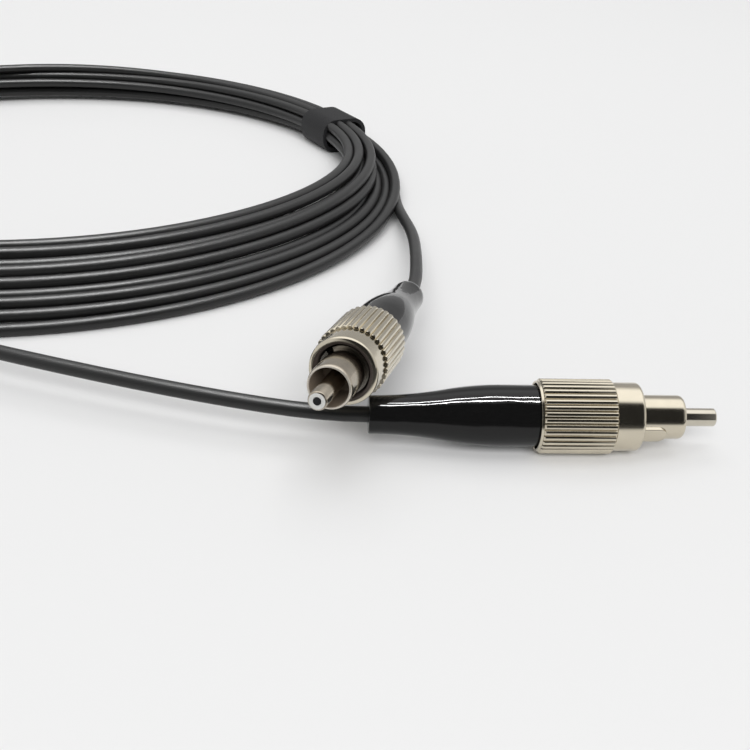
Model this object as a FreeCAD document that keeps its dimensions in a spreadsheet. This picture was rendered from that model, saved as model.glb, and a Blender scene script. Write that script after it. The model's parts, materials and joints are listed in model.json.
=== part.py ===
"""Plastic fibre patch cord: a coiled simplex cable with a screw-coupled plug on each end.

Frame: +Z up from the table, +X out of plug a along its ferrule, origin on the table under the
middle of the two plugs. Millimetres and degrees.
"""
import FreeCAD, Part
import math
import os

import Sketcher

V = FreeCAD.Vector
Z_UP = V(0, 0, 1)

# Driving dimensions. Along a plug, lengths run from the boot's rear end towards the ferrule's tip.
SIZES = {
    # Cable and fibre
    "cable_dia": 2.2,
    "fibre_dia": 1.0,
    # Coupling nut, drawn back as it lies on the table
    "knurl_dia": 10.2,
    "knurl_len": 10.55,
    "knurl_count": 36,
    "knurl_depth": 0.3,
    "knurl_land": 0.19,
    "collar_len": 0.35,
    "neck_step": 0.42,
    "neck_len": 3.6,
    "neck_bevel": 0.45,
    "nut_rear_wall": 0.35,
    "lip_thick": 1.2,
    "relief_len": 1.2,
    "thread_minor_dia": 7.24,
    "thread_depth": 0.43,
    "nut_travel": 4.9,
    # Plug frame: barrel, key, ring groove and ferrule guide
    "barrel_gap": 0.62,
    "barrel_show": 6.0,
    "barrel_wall": 0.4,
    "barrel_bore_depth": 6.25,
    "barrel_bevel": 0.25,
    "guide_len": 2.35,
    "chamber_wall": 0.5,
    "key_width": 2.6,
    "key_clear": 0.1,
    "key_show": 3.5,
    # Retaining ring
    "ring_proud": 0.4,
    "ring_sink": 0.12,
    "ring_thick": 0.5,
    "ring_depth": 0.7,
    "ring_gap": 1.0,
    "ring_turn": 250,
    # Ferrule and its spring
    "ferrule_dia": 2.5,
    "ferrule_show": 4.8,
    "ferrule_bevel": 0.2,
    "shank_dia": 3.0,
    "shank_show": 0.3,
    "flange_gap": 0.2,
    "flange_thick": 1.6,
    "ferrule_travel": 0.9,
    "spring_wire": 0.35,
    "spring_dia": 3.65,
    "spring_turns": 5,
    "spring_steps": 10,
    "fibre_tail": 3.0,
    # Rear body and crimp sleeve
    "shoulder_gap": 0.45,
    "shoulder_thick": 1.2,
    "spigot_len": 2.0,
    "stem_dia": 6.0,
    "stem_len": 3.25,
    "spring_seat_depth": 3.15,
    "jacket_stop_wall": 1.5,
    "post_dia": 3.5,
    "post_len": 8.2,
    "crimp_wall": 0.42,
    "crimp_len": 7.0,
    # Boot
    "boot_show": 22.7,
    "boot_nut_gap": 0.25,
    "boot_rear_dia": 5.2,
    "boot_waist": 10.2,
    "boot_waist_step": 0.725,
    "boot_swell": 18.0,
    # Clearances
    "running_gap": 0.08,
    "guide_gap": 0.04,
    "seat_gap": 0.02,
    "ring_side_gap": 0.03,
    "stop_gap": 0.1,
    "boot_gap": 0.03,
    # Where the plugs lie: each boot's rear end, and how each plug is turned
    "plug_a_x": -19.57,
    "plug_a_y": -9.12,
    "plug_a_key_roll": 113,
    "plug_b_x": -11.88,
    "plug_b_y": 22.25,
    "plug_b_z": 8.72,
    "plug_b_yaw": 251.71,
    "plug_b_tilt": 7.0,
    "plug_b_key_roll": 150,
    # Coil and its tie
    "coil_x": -86.84,
    "coil_y": 104.27,
    "coil_outer_dia": 160.0,
    "coil_inner_dia": 134.6,
    "coil_outer_shift": 2.0,
    "coil_inner_shift": 1.0,
    "coil_height": 10.0,
    "coil_bevel": 3.0,
    "tie_angle": 26.5,
    "tie_width": 12.0,
    "tie_thick": 0.9,
    "tie_proud": 0.4,
}

# The two leads' routes from the end of the first run behind each boot to inside the coil
LEAD_FIRST_RUN = 9.0
LEAD_A_POINTS = [
    V(-42.0, -5.9, 5.6),
    V(-63.0, 2.0, 6.0),
    V(-86.0, 12.2, 5.8),
    V(-107.0, 23.6, 5.2),
    V(-123.0, 36.0, 5.0),
]
LEAD_B_POINTS = [
    V(-7.6, 46.0, 6.7),
    V(-9.0, 67.0, 5.4),
    V(-14.5, 87.0, 4.6),
]
ARC_SHARE = 0.45
# The neck's bevel takes at most this share of the wall round the nut's mouth
RIM_SHARE = 0.75
# A parallel offset of a bevelled corner lengthens the bevel's legs by this share of the offset
BEVEL_GROWTH = 2 - math.sqrt(2)

os.makedirs("parts", exist_ok=True)
doc = FreeCAD.newDocument("patch_cord")
sheet = doc.addObject("Spreadsheet::Sheet", "sizes")
for line, (alias, number) in enumerate(SIZES.items(), start=1):
    sheet.set(f"A{line}", alias)
    sheet.set(f"B{line}", str(number))
    sheet.setAlias(f"B{line}", alias)
doc.recompute()


class Size:
    """A length that carries the spreadsheet formula it comes from."""

    def __init__(self, formula, number):
        self.formula = formula
        self.number = number

    def __add__(self, other):
        other = as_size(other)
        return Size(f"({self.formula} + {other.formula})", self.number + other.number)

    def __sub__(self, other):
        other = as_size(other)
        return Size(f"({self.formula} - {other.formula})", self.number - other.number)

    def __mul__(self, other):
        other = as_size(other)
        return Size(f"({self.formula} * {other.formula})", self.number * other.number)

    def __truediv__(self, other):
        other = as_size(other)
        return Size(f"({self.formula} / {other.formula})", self.number / other.number)

    def __neg__(self):
        return Size(f"(-1 * {self.formula})", -self.number)


def as_size(value):
    return value if isinstance(value, Size) else Size(str(value), value)


def cell(alias):
    """The sheet's value of that name, as a Size."""
    return Size(f"sizes.{alias}", float(sheet.get(alias)))


def half(alias):
    return cell(alias) / 2


def least(one, other):
    """The smaller of two Sizes."""
    return Size(f"min({one.formula}; {other.formula})", min(one.number, other.number))


def side_of(long_side, short_side):
    """The third side of a right-angled triangle, from its longest side and another."""
    square = long_side * long_side - short_side * short_side
    return Size(f"sqrt({square.formula})", math.sqrt(square.number))


def number(alias):
    """The sheet's value of that name, as a plain number."""
    return cell(alias).number


ON_AXIS = as_size(0)

# Stations along a plug, from the boot's rear end
nut_rear = cell("boot_show")
knurl_front = nut_rear + cell("knurl_len")
nut_front = knurl_front + cell("neck_len")
barrel_front = nut_front + cell("barrel_show")
tip = barrel_front + cell("ferrule_show")
ring_front = nut_front - cell("ring_depth")
ring_rear = ring_front - cell("ring_thick")
lip_front = ring_rear - cell("stop_gap") - cell("nut_travel")
lip_rear = lip_front - cell("lip_thick")
thread_rear = lip_front + cell("relief_len")
shoulder_front = lip_rear - cell("stop_gap")
shoulder_rear = shoulder_front - cell("shoulder_thick")
spigot_front = shoulder_front + cell("spigot_len")
stem_rear = shoulder_rear - cell("stem_len")
post_rear = stem_rear - cell("post_len")
spring_rear = shoulder_front - cell("spring_seat_depth")
jacket_stop = spring_rear - cell("jacket_stop_wall")
crimp_front = stem_rear - cell("stop_gap")
crimp_rear = crimp_front - cell("crimp_len")
boot_front = shoulder_rear - cell("seat_gap")
frame_rear = shoulder_front + cell("seat_gap")
guide_front = barrel_front - cell("barrel_bore_depth")
guide_rear = guide_front - cell("guide_len")
flange_front = guide_rear - cell("seat_gap")
flange_rear = flange_front - cell("flange_thick")
fibre_rear = jacket_stop - cell("fibre_tail")
fibre_pocket_rear = fibre_rear - cell("ferrule_travel") - cell("stop_gap")

# Radii shared by pieces that fit each other. The nut's outside and rear follow its knurl, with the boot and the
# shoulder inside; its thread passes over the barrel, which sets the ring round it and the bores in it
knurl_r = half("knurl_dia")
knurl_root_r = knurl_r - cell("knurl_depth")
neck_r = knurl_r - cell("neck_step")
nut_bore_r = knurl_root_r - cell("nut_rear_wall")
boot_front_r = nut_bore_r - cell("boot_nut_gap")
shoulder_r = nut_bore_r - cell("shoulder_gap")
thread_r = half("thread_minor_dia")
mouth_r = thread_r + cell("thread_depth")
barrel_r = thread_r - cell("barrel_gap")
barrel_bore_r = barrel_r - cell("barrel_wall")
chamber_r = barrel_r - cell("chamber_wall")
flange_r = chamber_r - cell("flange_gap")
ring_r = barrel_r + cell("ring_proud")
ring_bore_r = barrel_r - cell("ring_sink")
ring_groove_r = ring_bore_r - cell("ring_side_gap")
fibre_hole_r = half("fibre_dia") + cell("boot_gap")
jacket_hole_r = half("cable_dia") + cell("boot_gap")
crimp_bore_r = half("post_dia") + cell("boot_gap")
crimp_r = crimp_bore_r + cell("crimp_wall")


def new_body(label):
    body = doc.addObject("PartDesign::Body", label)
    body.Label = label
    return body


def sketch_on(body, role, name, lift=ON_AXIS):
    """An empty sketch on one of the body's origin planes, lifted along the plane's normal."""
    sketch = body.newObject("Sketcher::SketchObject", name)
    plane = next(item for item in body.Origin.OriginFeatures if item.Role == role)
    sketch.AttachmentSupport = (plane, [""])
    sketch.MapMode = "FlatFace"
    if lift is not ON_AXIS:
        sketch.setExpression("AttachmentOffset.Base.z", lift.formula)
    return sketch


def pin_point(sketch, edge, end, across, up):
    """Ties a sketch point's two coordinates to their formulas."""
    for kind, axis, size in (("DistanceX", -2, across), ("DistanceY", -1, up)):
        if size.number == 0:
            sketch.addConstraint(Sketcher.Constraint("PointOnObject", edge, end, axis))
            continue
        if size.number > 0:
            place = Sketcher.Constraint(kind, -1, 1, edge, end, size.number)
        else:
            size = -size
            place = Sketcher.Constraint(kind, edge, end, -1, 1, size.number)
        index = sketch.addConstraint(place)
        sketch.setExpression(f"Constraints[{index}]", size.formula)


def polygon(sketch, corners):
    """A closed outline through corners, each a pair of Sizes."""
    corners = [(as_size(across), as_size(up)) for across, up in corners]
    points = [V(across.number, up.number, 0) for across, up in corners]
    count = len(corners)
    first = sketch.GeometryCount
    for k in range(count):
        sketch.addGeometry(Part.LineSegment(points[k], points[(k + 1) % count]))
    for k in range(count):
        following = first + (k + 1) % count
        sketch.addConstraint(Sketcher.Constraint("Coincident", first + k, 2, following, 1))
    for k, (across, up) in enumerate(corners):
        pin_point(sketch, first + k, 1, across, up)
    return sketch


def circle(sketch, across, up, dia):
    """A circle with its centre and diameter tied to their formulas."""
    round_edge = Part.Circle(V(across.number, up.number, 0), Z_UP, dia.number / 2)
    index = sketch.addGeometry(round_edge)
    pin_point(sketch, index, 3, across, up)
    wide = sketch.addConstraint(Sketcher.Constraint("Diameter", index, dia.number))
    sketch.setExpression(f"Constraints[{wide}]", dia.formula)
    return sketch


def turn(body, sketch):
    """Turns a half section round the plug's axis."""
    solid = body.newObject("PartDesign::Revolution", f"{body.Label}_turn")
    solid.Profile = sketch
    solid.ReferenceAxis = (sketch, ["H_Axis"])
    solid.Angle = 360
    doc.recompute()
    return body


def turned(label, corners):
    """A turned piece from its half section: (along the axis, out from it) corners."""
    body = new_body(label)
    return turn(body, polygon(sketch_on(body, "XY_Plane", f"{label}_section"), corners))


def sink(body, sketch, depth, name):
    """Cuts a pocket from a sketch back towards the boot, and makes sure that it cut something."""
    whole = body.Shape.Volume
    pocket = body.newObject("PartDesign::Pocket", name)
    pocket.Profile = sketch
    pocket.setExpression("Length", depth.formula)
    doc.recompute()
    if not pocket.Shape.Volume < whole:
        raise RuntimeError(f"{name} removed nothing")
    return pocket


def bevel_over(body, size, name, wanted):
    """Bevels the edges that wanted picks."""
    base = body.Tip
    names = [f"Edge{k}" for k, edge in enumerate(base.Shape.Edges, start=1) if wanted(edge)]
    bevel = body.newObject("PartDesign::Chamfer", name)
    bevel.Base = (base, names)
    bevel.setExpression("Size", size.formula)
    doc.recompute()
    return bevel


def coupling_nut(label):
    """Knurled nut: smooth neck, screw thread inside the mouth, and the lip that keeps it on."""
    depth = cell("knurl_depth")
    knurl_rear = nut_rear + cell("collar_len")
    mouth_bevel = cell("thread_depth")
    neck_bevel = least(cell("neck_bevel"), (neck_r - mouth_r) * RIM_SHARE)
    lip_r = barrel_r + cell("running_gap")
    body = turned(label, [
        (nut_rear, nut_bore_r),
        (nut_rear, knurl_root_r),
        (knurl_rear, knurl_root_r),
        (knurl_rear, knurl_r),
        (knurl_front, knurl_r),
        (knurl_front, neck_r),
        (nut_front - neck_bevel, neck_r),
        (nut_front, neck_r - neck_bevel),
        (nut_front, mouth_r),
        (nut_front - mouth_bevel, thread_r),
        (thread_rear, thread_r),
        (thread_rear, mouth_r),
        (lip_front, mouth_r),
        (lip_front, lip_r),
        (lip_rear, lip_r),
        (lip_rear, nut_bore_r),
    ])

    # One V groove of the straight knurl, then all of them round the nut
    pitch = cell("knurl_dia") * Size("pi", math.pi) / cell("knurl_count")
    overshoot = as_size(1.5)
    spread = (pitch - cell("knurl_land")) / 2 * overshoot
    top = knurl_root_r + depth * overshoot
    groove_sketch = sketch_on(body, "YZ_Plane", f"{label}_groove_section", knurl_front)
    polygon(groove_sketch, [(ON_AXIS, knurl_root_r), (spread, top), (-spread, top)])
    groove = sink(body, groove_sketch, knurl_front - knurl_rear, f"{label}_groove")
    knurl = body.newObject("PartDesign::PolarPattern", f"{label}_knurl")
    knurl.Originals = [groove]
    axis = next(item for item in body.Origin.OriginFeatures if item.Role == "X_Axis")
    knurl.Axis = (axis, [""])
    knurl.Angle = 360
    knurl.setExpression("Occurrences", "sizes.knurl_count")
    body.Tip = knurl
    doc.recompute()
    return body


def plug_frame(label):
    """Barrel with the retaining ring's groove, the ferrule's guide and the spring's chamber."""
    bevel = cell("barrel_bevel")
    guide_r = half("shank_dia") + cell("guide_gap")
    groove_rear = ring_rear - cell("ring_side_gap")
    groove_front = ring_front + cell("ring_side_gap")
    body = turned(label, [
        (frame_rear, chamber_r),
        (frame_rear, barrel_r),
        (groove_rear, barrel_r),
        (groove_rear, ring_groove_r),
        (groove_front, ring_groove_r),
        (groove_front, barrel_r),
        (barrel_front - bevel, barrel_r),
        (barrel_front, barrel_r - bevel),
        (barrel_front, barrel_bore_r),
        (guide_front, barrel_bore_r),
        (guide_front, guide_r),
        (guide_rear, guide_r),
        (guide_rear, chamber_r),
    ])

    # The key: a low strip on top of the barrel with a round front end, rooted in the barrel's wall, so high
    # that its corners just clear the thread which slides over them
    wide = half("key_width")
    key_top = side_of(thread_r - cell("key_clear"), wide)
    key_rear = groove_front + cell("stop_gap")
    key_round = nut_front + cell("key_show") - wide
    key_root = barrel_bore_r + cell("barrel_wall") / 4
    sketch = sketch_on(body, "XY_Plane", f"{label}_key_outline", key_root)
    right = V(key_round.number, -wide.number, 0)
    left = V(key_round.number, wide.number, 0)
    sketch.addGeometry(Part.LineSegment(V(key_rear.number, -wide.number, 0), right))
    front = Part.Circle(V(key_round.number, 0, 0), Z_UP, wide.number)
    sketch.addGeometry(Part.ArcOfCircle(front, -math.pi / 2, math.pi / 2))
    sketch.addGeometry(Part.LineSegment(left, V(key_rear.number, wide.number, 0)))
    sketch.addGeometry(Part.LineSegment(V(key_rear.number, wide.number, 0), V(key_rear.number, -wide.number, 0)))
    for edge in range(4):
        sketch.addConstraint(Sketcher.Constraint("Coincident", edge, 2, (edge + 1) % 4, 1))
    pin_point(sketch, 0, 1, key_rear, -wide)
    pin_point(sketch, 0, 2, key_round, -wide)
    pin_point(sketch, 2, 1, key_round, wide)
    pin_point(sketch, 2, 2, key_rear, wide)
    centre = sketch.addConstraint(Sketcher.Constraint("DistanceX", -1, 1, 1, 3, key_round.number))
    sketch.setExpression(f"Constraints[{centre}]", key_round.formula)
    key = body.newObject("PartDesign::Pad", f"{label}_key")
    key.Profile = sketch
    key.setExpression("Length", (key_top - key_root).formula)
    doc.recompute()
    return body


def retaining_ring(label):
    """Open spring ring that sits in the barrel's groove ahead of the nut's lip."""
    body = turned(label, [
        (ring_rear, ring_bore_r),
        (ring_rear, ring_r),
        (ring_front, ring_r),
        (ring_front, ring_bore_r),
    ])
    sketch = sketch_on(body, "YZ_Plane", f"{label}_gap_outline", ring_front)
    side = half("ring_gap")
    polygon(sketch, [
        (-side, ring_bore_r / 2),
        (side, ring_bore_r / 2),
        (side, ring_r * 2),
        (-side, ring_r * 2),
    ])
    sink(body, sketch, cell("ring_thick"), f"{label}_gap")
    return body


def ferrule(label):
    """Ferrule with a bevelled tip, a guided shank and the flange that its spring pushes on."""
    bevel = cell("ferrule_bevel")
    shank_front = guide_front + cell("shank_show")
    return turned(label, [
        (flange_rear, fibre_hole_r),
        (flange_rear, flange_r),
        (flange_front, flange_r),
        (flange_front, half("shank_dia")),
        (shank_front, half("shank_dia")),
        (shank_front, half("ferrule_dia")),
        (tip - bevel, half("ferrule_dia")),
        (tip, half("ferrule_dia") - bevel),
        (tip, fibre_hole_r),
    ])


def ferrule_spring(label):
    """Compression spring between the rear body's seat and the ferrule's flange: square wire, few faces."""
    wire = cell("spring_wire").number
    low = (spring_rear + cell("seat_gap")).number
    rise = (flange_rear - cell("seat_gap")).number - wire - low
    outside = number("spring_dia") / 2
    turns = number("spring_turns")
    steps = round(turns * number("spring_steps"))
    square = [V(0, 0, outside - wire), V(wire, 0, outside - wire), V(wire, 0, outside), V(0, 0, outside)]
    sections = []
    for k in range(steps + 1):
        turned_by = FreeCAD.Rotation(V(1, 0, 0), 360 * turns * k / steps)
        shift = V(low + rise * k / steps, 0, 0)
        corners = [turned_by.multVec(corner) + shift for corner in square]
        sections.append(Part.makePolygon(corners + corners[:1]))
    spring = doc.addObject("Part::Feature", label)
    spring.Label = label
    spring.Shape = Part.makeLoft(sections, True, True)
    return spring


def rear_body(label):
    """Back post: spigot in the frame, shoulder that stops the nut, stem in the boot, crimp post."""
    spring_seat_r = half("spring_dia") + cell("stop_gap")
    spigot_r = chamber_r - cell("seat_gap")
    return turned(label, [
        (post_rear, jacket_hole_r),
        (post_rear, half("post_dia")),
        (stem_rear, half("post_dia")),
        (stem_rear, half("stem_dia")),
        (shoulder_rear, half("stem_dia")),
        (shoulder_rear, shoulder_r),
        (shoulder_front, shoulder_r),
        (shoulder_front, spigot_r),
        (spigot_front, spigot_r),
        (spigot_front, spring_seat_r),
        (spring_rear, spring_seat_r),
        (spring_rear, fibre_hole_r),
        (jacket_stop, fibre_hole_r),
        (jacket_stop, jacket_hole_r),
    ])


def crimp_sleeve(label):
    """Plain sleeve over the crimp post."""
    return turned(label, [
        (crimp_rear, crimp_bore_r),
        (crimp_rear, crimp_r),
        (crimp_front, crimp_r),
        (crimp_front, crimp_bore_r),
    ])


def boot(label):
    """Bend-relief boot: square rear end, waist that swells to a straight front inside the nut."""
    rear_r = half("boot_rear_dia")
    front_r = boot_front_r
    waist = cell("boot_waist")
    waist_r = front_r - cell("boot_waist_step")
    swell = cell("boot_swell")
    stem_hole_r = half("stem_dia") + cell("boot_gap")
    crimp_hole_r = crimp_r + cell("boot_gap")
    crimp_stop = post_rear - cell("stop_gap")
    stem_stop = stem_rear - cell("seat_gap")
    inside = [
        (swell, front_r),
        (boot_front, front_r),
        (boot_front, stem_hole_r),
        (stem_stop, stem_hole_r),
        (stem_stop, crimp_hole_r),
        (crimp_stop, crimp_hole_r),
        (crimp_stop, jacket_hole_r),
        (ON_AXIS, jacket_hole_r),
        (ON_AXIS, rear_r),
    ]
    body = new_body(label)
    sketch = sketch_on(body, "XY_Plane", f"{label}_section")
    points = [V(along.number, out.number, 0) for along, out in inside]
    for near, far in zip(points, points[1:]):
        sketch.addGeometry(Part.LineSegment(near, far))
    lines = len(points) - 1
    for k in range(lines - 1):
        sketch.addConstraint(Sketcher.Constraint("Coincident", k, 2, k + 1, 1))
    for k, (along, out) in enumerate(inside[:-1]):
        pin_point(sketch, k, 1, along, out)
    pin_point(sketch, lines - 1, 2, *inside[-1])

    # Two arcs make the outside: hollow from the rear end to the waist, then full up to the swell
    run = swell.number - waist.number
    rise = front_r.number - waist_r.number
    full_r = (run ** 2 + rise ** 2) / (2 * rise)
    lean = math.asin(run / full_r)
    waist_point = V(waist.number, waist_r.number, 0)
    normal = V(-math.sin(lean), math.cos(lean), 0)
    back = V(0, rear_r.number, 0) - waist_point
    hollow_r = back.dot(back) / (2 * back.dot(normal))
    hollow_centre = waist_point + normal * hollow_r
    full_centre = V(swell.number, front_r.number - full_r, 0)
    start = math.atan2(rear_r.number - hollow_centre.y, -hollow_centre.x)
    end = math.atan2(-normal.y, -normal.x)
    hollow = sketch.addGeometry(Part.ArcOfCircle(Part.Circle(hollow_centre, Z_UP, hollow_r), start, end))
    full = sketch.addGeometry(
        Part.ArcOfCircle(Part.Circle(full_centre, Z_UP, full_r), math.pi / 2, math.pi / 2 + lean))
    sketch.addConstraint(Sketcher.Constraint("Coincident", lines - 1, 2, hollow, 1))
    sketch.addConstraint(Sketcher.Constraint("Tangent", hollow, 2, full, 2))
    sketch.addConstraint(Sketcher.Constraint("Tangent", full, 1, 0, 1))
    pin_point(sketch, hollow, 2, waist, waist_r)
    return turn(body, sketch)


def cable_end(label):
    """Jacketed end of the cable, with the pocket in which the fibre slides with the ferrule."""
    front = jacket_stop - cell("seat_gap")
    return turned(label, [
        (ON_AXIS, ON_AXIS),
        (ON_AXIS, half("cable_dia")),
        (front, half("cable_dia")),
        (front, fibre_hole_r),
        (fibre_pocket_rear, fibre_hole_r),
        (fibre_pocket_rear, ON_AXIS),
    ])


def fibre_end(label):
    """Bare fibre from inside the jacket to the polished face at the ferrule's tip."""
    return turned(label, [
        (fibre_rear, ON_AXIS),
        (fibre_rear, half("fibre_dia")),
        (tip, half("fibre_dia")),
        (tip, ON_AXIS),
    ])


def rolled(place, angle):
    """The placement turned about its own plug's axis."""
    return place * FreeCAD.Placement(V(0, 0, 0), FreeCAD.Rotation(V(1, 0, 0), angle))


def place_of(x, y, z, yaw, tilt, roll):
    """Where a plug lies: its boot's rear end, its heading, its nose-up tilt and its key's roll."""
    return FreeCAD.Placement(V(x, y, z), FreeCAD.Rotation(yaw, -tilt, roll))


plug_places = {
    "a": place_of(
        number("plug_a_x"), number("plug_a_y"), number("knurl_dia") / 2,
        0, 0, number("plug_a_key_roll")),
    "b": place_of(
        number("plug_b_x"), number("plug_b_y"), number("plug_b_z"),
        number("plug_b_yaw"), number("plug_b_tilt"), number("plug_b_key_roll")),
}
PLUG_PIECES = (
    coupling_nut, plug_frame, retaining_ring, ferrule, ferrule_spring,
    rear_body, crimp_sleeve, boot, cable_end, fibre_end,
)
nodes = []
for side, place in plug_places.items():
    for make in PLUG_PIECES:
        piece = make(f"{make.__name__}_{side}")
        piece.Placement = rolled(place, number("ring_turn")) if make is retaining_ring else place
        nodes.append(piece)

# Coil tie: a strap pulled tight round the bundle, so that the bundle is a little narrower inside it
tie_sine = Size("sin(sizes.tie_angle * 1 deg)", math.sin(math.radians(number("tie_angle"))))
tie_outside = half("coil_outer_dia") - cell("coil_outer_shift") * tie_sine + cell("tie_proud")
tie_inside = half("coil_inner_dia") + cell("coil_inner_shift") * tie_sine - cell("tie_proud")
tie_top = cell("coil_height") + cell("tie_proud")


def strap_outline(inset, bevel):
    """The strap's section outline, set in from its outside: a rectangle with bevelled corners."""
    low = as_size(inset)
    top = tie_top - inset
    inside = tie_inside + inset
    outside = tie_outside - inset
    return [
        (inside + bevel, low), (outside - bevel, low), (outside, low + bevel), (outside, top - bevel),
        (outside - bevel, top), (inside + bevel, top), (inside, top - bevel), (inside, low + bevel),
    ]


outer_bevel = cell("coil_bevel") + cell("tie_proud") * BEVEL_GROWTH
inner_bevel = outer_bevel - cell("tie_thick") * BEVEL_GROWTH
tie = new_body("coil_tie")
tie_sketch = sketch_on(tie, "XZ_Plane", "coil_tie_section")
polygon(tie_sketch, strap_outline(ON_AXIS, outer_bevel))
polygon(tie_sketch, strap_outline(cell("tie_thick"), inner_bevel))
strap = tie.newObject("PartDesign::Pad", "coil_tie_strap")
strap.Profile = tie_sketch
strap.setExpression("Length", "sizes.tie_width")
strap.Midplane = True
doc.recompute()
tie.Placement = FreeCAD.Placement(
    V(number("coil_x"), number("coil_y"), 0), FreeCAD.Rotation(Z_UP, number("tie_angle")))
nodes.append(tie)

# Coil: the bundle's outer shape, wider towards the plugs, nipped in where the strap holds it
bundle = new_body("coil_bundle")
ring_sketch = sketch_on(bundle, "XY_Plane", "coil_bundle_rings")
circle(ring_sketch, ON_AXIS, -cell("coil_outer_shift"), cell("coil_outer_dia"))
circle(ring_sketch, ON_AXIS, cell("coil_inner_shift"), cell("coil_inner_dia"))
ring_pad = bundle.newObject("PartDesign::Pad", "coil_bundle_pad")
ring_pad.Profile = ring_sketch
ring_pad.setExpression("Length", "sizes.coil_height")
doc.recompute()
bevel_over(bundle, cell("coil_bevel"), "coil_bundle_bevel", lambda edge: isinstance(edge.Curve, Part.Circle))
bundle.Placement = FreeCAD.Placement(V(number("coil_x"), number("coil_y"), 0), FreeCAD.Rotation())
coil = doc.addObject("Part::Cut", "cable_coil")
coil.Label = "cable_coil"
coil.Base = bundle
coil.Tool = tie
doc.recompute()
nodes.append(coil)


def tube(label, route, dia):
    """A round tube along straight runs joined by tangent arcs as large as the runs allow."""
    edges = []
    last = route[0]
    radii = []
    for before, corner, after in zip(route, route[1:], route[2:]):
        coming = corner - before
        going = after - corner
        cut = ARC_SHARE * min(coming.Length, going.Length)
        half_turn = coming.getAngle(going) / 2
        radius = cut / math.tan(half_turn)
        coming.normalize()
        going.normalize()
        inward = going - coming
        inward.normalize()
        middle = corner + inward * (math.hypot(radius, cut) - radius)
        start = corner - coming * cut
        end = corner + going * cut
        edges.append(Part.LineSegment(last, start).toShape())
        edges.append(Part.Arc(start, middle, end).toShape())
        last = end
        radii.append(round(radius, 1))
    edges.append(Part.LineSegment(last, route[-1]).toShape())
    path = Part.Wire(edges)
    section = Part.Wire(Part.Circle(route[0], route[1] - route[0], dia / 2).toShape())
    solid = doc.addObject("Part::Feature", label)
    solid.Label = label
    solid.Shape = path.makePipeShell([section], True, False)
    share = solid.Shape.Volume / (path.Length * math.pi * dia ** 2 / 4)
    print(label, "radii", radii, "length", round(path.Length, 1), "volume share", round(share, 4))
    return solid


for side, points in (("a", LEAD_A_POINTS), ("b", LEAD_B_POINTS)):
    boot_end = plug_places[side].multVec(V(0, 0, 0))
    first_run = plug_places[side].multVec(V(-LEAD_FIRST_RUN, 0, 0))
    nodes.append(tube(f"cable_lead_{side}", [boot_end, first_run] + points, number("cable_dia")))

doc.recompute()
for item in doc.Objects:
    if "Invalid" in item.State or "Error" in item.State:
        raise RuntimeError(f"{item.Label} failed: {item.State}")
for piece in nodes:
    if piece.Shape.isNull() or not piece.Shape.isValid() or len(piece.Shape.Solids) != 1:
        raise RuntimeError(f"{piece.Label} is not one valid solid")
    piece.Shape.exportStep(f"parts/{piece.Label}.step")
print(len(nodes), "pieces written")
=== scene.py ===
# %% [markdown]
# # A plastic fibre patch cord, dressed for its portrait
#
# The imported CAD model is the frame: it fixes where each plug lies, how far its nut slides and how
# big everything is. This lesson adds the looks. It makes one long cable on one smooth curve,
# the strap that holds its coil, the knurled nickel plugs and their black boots, and gives each of
# them a finish made from nodes.

import json
import math
import random

import bmesh
import bpy
import numpy as np
from mathutils import Matrix, Vector


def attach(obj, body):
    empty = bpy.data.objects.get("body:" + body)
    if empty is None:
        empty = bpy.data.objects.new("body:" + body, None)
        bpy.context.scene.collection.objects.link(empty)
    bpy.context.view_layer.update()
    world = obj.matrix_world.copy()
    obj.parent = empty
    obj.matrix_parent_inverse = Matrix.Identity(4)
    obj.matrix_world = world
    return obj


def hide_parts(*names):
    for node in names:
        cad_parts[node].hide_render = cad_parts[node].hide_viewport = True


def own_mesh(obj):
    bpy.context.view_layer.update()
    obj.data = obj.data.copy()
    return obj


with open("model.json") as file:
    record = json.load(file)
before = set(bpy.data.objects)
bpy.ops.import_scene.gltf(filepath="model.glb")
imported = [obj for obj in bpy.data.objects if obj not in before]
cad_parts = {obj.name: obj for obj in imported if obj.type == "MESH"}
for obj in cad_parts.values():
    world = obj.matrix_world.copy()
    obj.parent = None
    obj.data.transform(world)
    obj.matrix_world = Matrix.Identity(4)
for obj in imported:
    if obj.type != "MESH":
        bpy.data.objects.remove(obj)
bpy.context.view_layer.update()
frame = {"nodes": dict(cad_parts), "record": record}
MM = 0.001

# %% [markdown]
# ## Where each plug lies
#
# The record keeps one mount at the mouth of each coupling nut, with the direction in which the
# plug points. A matrix built from that mount turns a plug drawn along +X, with its boot's rear end
# at zero, into its place on the table. Every piece of a plug is drawn once that way and then moved
# by its plug's matrix, so the two plugs stay alike.

# %% Plug places
NUT_FRONT = 36.85
KEY_ROLL = {"a": 113.0, "b": 150.0}

mounts = {mount["name"]: mount for mount in frame["record"]["mounts"]}
plug_place = {}
for side in "ab":
    mouth = mounts[f"nut_thread_{side}"]
    along = Vector(mouth["axis"]).normalized()
    across = Vector((0, 0, 1)).cross(along).normalized()
    upward = along.cross(across)
    turn = Matrix((along, across, upward)).transposed()
    rear_end = Vector(mouth["pos_m"]) / MM - along * NUT_FRONT
    roll = Matrix.Rotation(math.radians(KEY_ROLL[side]), 4, "X")
    plug_place[side] = Matrix.Translation(rear_end) @ turn.to_4x4() @ roll
    print("plug", side, "boot ends at", [round(c, 2) for c in rear_end])

# %% [markdown]
# ## The camera
#
# The photograph looks down on the plugs from the front, a little to the left of them and close by.
# Its focal length, place and small roll were fitted to the straight edges of the plugs, and the
# camera is set from those numbers. The picture is square.

# %% Camera
IMAGE_PX = 750
FOCAL_PX = 1105.4
CAMERA_AT = Vector((-28.85, -138.04, 78.74))
CAMERA_YAW = -4.42
CAMERA_TILT = 62.38
CAMERA_ROLL = 2.69

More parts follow.
